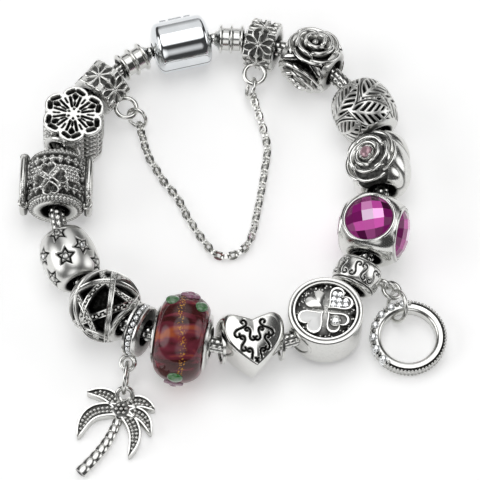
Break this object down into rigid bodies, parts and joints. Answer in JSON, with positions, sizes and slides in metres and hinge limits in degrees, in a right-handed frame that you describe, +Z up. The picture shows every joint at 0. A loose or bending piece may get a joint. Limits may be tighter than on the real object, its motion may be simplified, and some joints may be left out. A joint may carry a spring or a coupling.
{
  "type": "charm bracelet",
  "caption": "Silver charm bracelet: a snake chain with a hinged barrel clasp, slide-on beads, hanging palm and ring charms, and a fine safety chain.",
  "frame": {"origin": "middle of the lying bracelet's box, on the surface that it lies on", "axes": "+Z up from the surface; the clasp is towards +Y and the palm charm towards -Y; +X is the picture's right"},
  "size_m": [0.0762, 0.0912, 0.016],
  "materials": {
    "antiqued_silver": "sterling silver, polished on the high places and dark in the recesses",
    "polished_steel": "mirror-polished silver of the clasp",
    "purple_glass": "purple lampwork glass with a glitter band",
    "magenta_crystal": "faceted magenta stone",
    "pink_crystal": "pale pink cut stone",
    "white_enamel": "glossy white enamel"
  },
  "bodies": {
    "bracelet": {"cap_left": "antiqued_silver", "cap_right": "antiqued_silver", "clasp_base": "polished_steel", "clover_drum": "antiqued_silver", "crystal_1": "magenta_crystal", "crystal_2": "magenta_crystal", "crystal_3": "magenta_crystal", "crystal_bead": "antiqued_silver", "enamel_heart": "white_enamel", "flower_bead": "antiqued_silver", "glass_bead": "purple_glass", "glass_core": "antiqued_silver", "globe_bead": "antiqued_silver", "heart_bead": "antiqued_silver", "large_ring": "antiqued_silver", "leaf_ball": "antiqued_silver", "palm_charm": "antiqued_silver", "palm_ring": "antiqued_silver", "pave_spacer": "antiqued_silver", "ring_charm": "antiqued_silver", "ring_left": "antiqued_silver", "ring_right": "antiqued_silver", "rose_bead": "antiqued_silver", "rose_stone": "pink_crystal", "safety_chain": "antiqued_silver", "scroll_bead": "antiqued_silver", "small_ring": "antiqued_silver", "snake_chain": "antiqued_silver", "star_ball": "antiqued_silver", "stopper_left": "antiqued_silver", "stopper_right": "antiqued_silver", "strand_ball": "antiqued_silver", "triple_rose_bead": "antiqued_silver"},
    "clasp_lid": {"clasp_lid": "polished_steel"}
  },
  "joints": [
    {"name": "clasp_hinge", "type": "hinge", "parent": "bracelet", "child": "clasp_lid", "pos_m": [-0.01045, 0.04398, 0.00499], "axis": [-0.9704, -0.2414, 0], "range_deg": [0, 75]}
  ]
}
